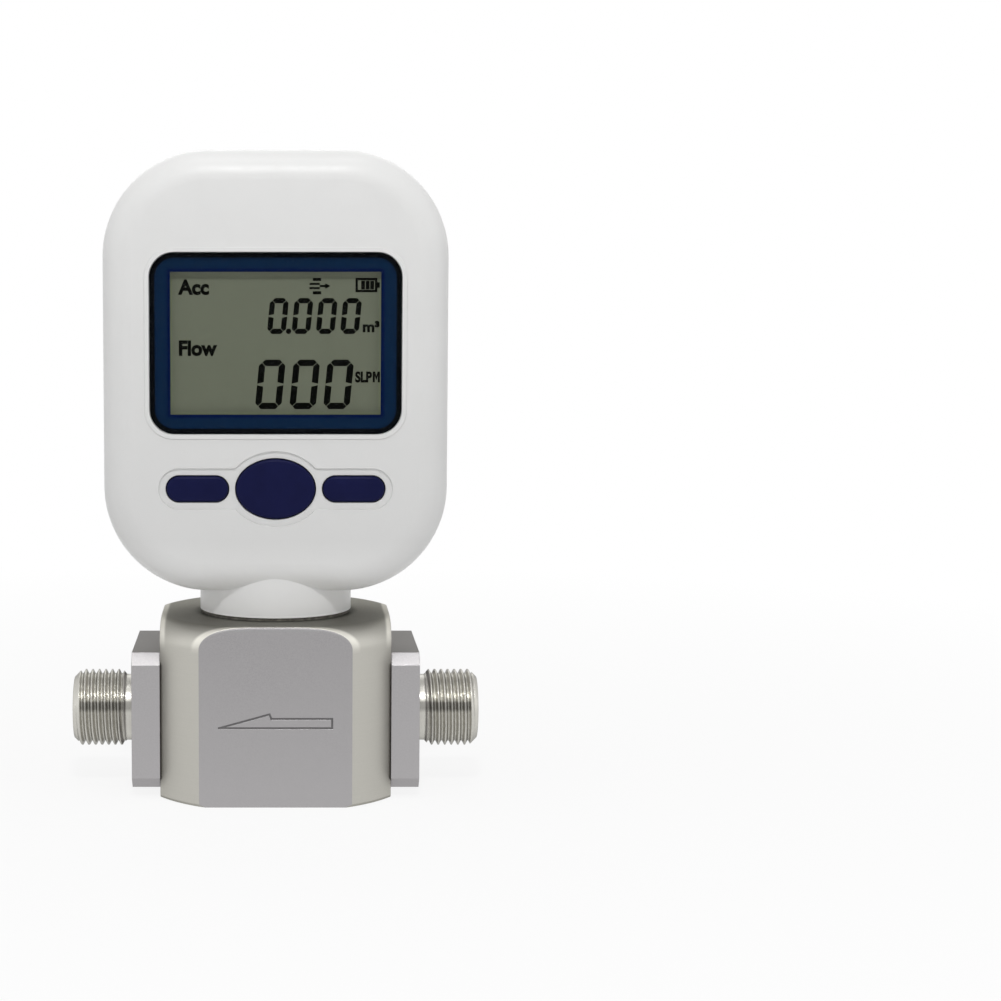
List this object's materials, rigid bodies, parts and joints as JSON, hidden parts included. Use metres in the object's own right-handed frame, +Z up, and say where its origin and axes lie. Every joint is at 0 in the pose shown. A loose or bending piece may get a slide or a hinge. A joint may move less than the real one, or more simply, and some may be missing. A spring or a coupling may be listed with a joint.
{
  "type": "gas_flow_meter",
  "caption": "Handheld gas flow meter head with display and keys on a round neck over a flat-sided metal flow body with male pipe threads at both ends.",
  "frame": {"origin": "centre of the flat base of the metal flow body, on the surface that the meter stands on", "axes": "+X along the gas path from the outlet to the inlet, +Y from the display to the rear, +Z up; the display faces -Y"},
  "size_m": [0.111, 0.062, 0.1729],
  "materials": {
    "body_metal": "blasted, satin",
    "nipple_steel": "bright turned",
    "screw_steel": "satin",
    "contact_metal": "plated",
    "seal_rubber": "matte",
    "shell_plastic": "fine satin texture",
    "holder_plastic": "matte",
    "dark_plastic": "matte",
    "key_navy": "satin gloss",
    "frame_navy": "gloss, printed behind the window",
    "window_clear": "clear, gloss",
    "display_olive": "reflective display",
    "board_green": "solder mask",
    "ribbon_plastic": "satin",
    "lead_red": "satin",
    "cell_case": "wrapped, gloss",
    "label_silver": "silver foil, satin"
  },
  "bodies": {
    "meter": {"flow_body": "body_metal", "inlet_block": "body_metal", "outlet_block": "body_metal", "inlet_nipple": "nipple_steel", "outlet_nipple": "nipple_steel", "block_seals": "seal_rubber", "block_screws": "screw_steel", "flow_straightener": "nipple_steel", "neck_post": "body_metal", "neck_gasket": "seal_rubber", "neck_screws": "screw_steel", "sensor_carrier": "dark_plastic", "sensor_seal": "seal_rubber", "sensor_board": "board_green", "sensor_chip": "contact_metal", "sensor_screws": "screw_steel", "sensor_ribbon": "ribbon_plastic", "front_shell": "shell_plastic", "rear_housing": "shell_plastic", "shell_screws": "screw_steel", "screw_plugs": "shell_plastic", "display_window": "window_clear", "window_frame": "frame_navy", "display_glass": "display_olive", "display_holder": "holder_plastic", "main_board": "board_green", "board_parts": "dark_plastic", "key_switches": "dark_plastic", "board_screws": "screw_steel", "battery_tray": "dark_plastic", "batteries": "cell_case", "battery_springs": "contact_metal", "battery_plates": "contact_metal", "battery_leads": "lead_red", "serial_label": "label_silver"},
    "left_key": {"left_key": "key_navy"},
    "centre_key": {"centre_key": "key_navy"},
    "right_key": {"right_key": "key_navy"},
    "battery_cover": {"battery_cover": "shell_plastic", "cover_screw": "screw_steel", "cover_washer": "seal_rubber", "cover_nut": "screw_steel", "rating_label": "label_silver"}
  },
  "joints": [
    {"name": "left_key_press", "type": "slide", "parent": "meter", "child": "left_key", "axis": [0, 1, 0], "range_m": [0, 0.0006], "stiffness_N_per_m": 1200},
    {"name": "centre_key_press", "type": "slide", "parent": "meter", "child": "centre_key", "axis": [0, 1, 0], "range_m": [0, 0.0006], "stiffness_N_per_m": 1200},
    {"name": "right_key_press", "type": "slide", "parent": "meter", "child": "right_key", "axis": [0, 1, 0], "range_m": [0, 0.0006], "stiffness_N_per_m": 1200},
    {"name": "cover_slide", "type": "slide", "parent": "meter", "child": "battery_cover", "axis": [0, 0, 1], "range_m": [0, 0.09]}
  ]
}
